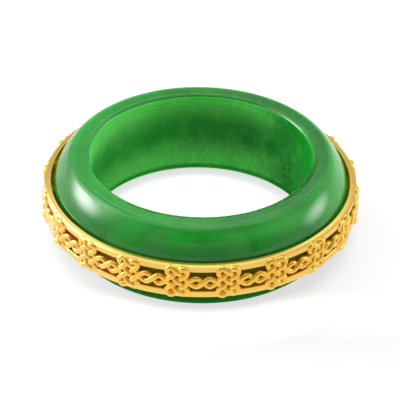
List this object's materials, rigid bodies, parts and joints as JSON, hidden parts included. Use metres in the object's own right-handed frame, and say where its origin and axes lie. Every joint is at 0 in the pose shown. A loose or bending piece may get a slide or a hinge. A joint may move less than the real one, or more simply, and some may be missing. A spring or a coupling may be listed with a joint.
{
  "type": "jade band ring with a gold openwork band",
  "caption": "Domed green jade finger ring with a straight bore, girdled at mid-height by a gold openwork band of knots and scrolls between two rails.",
  "frame": {"origin": "centre of the flat lower rim that the ring rests on, on the ring's axis", "axes": "+Z along the ring's axis, upwards as the ring lies; a window of the gold band is centred on each of +X, -X, +Y and -Y"},
  "size_m": [0.025, 0.025, 0.0071],
  "materials": {
    "jade": "polished",
    "gold": "polished"
  },
  "bodies": {
    "root": {"jade_band": "jade", "openwork_band": "gold"}
  },
  "joints": []
}
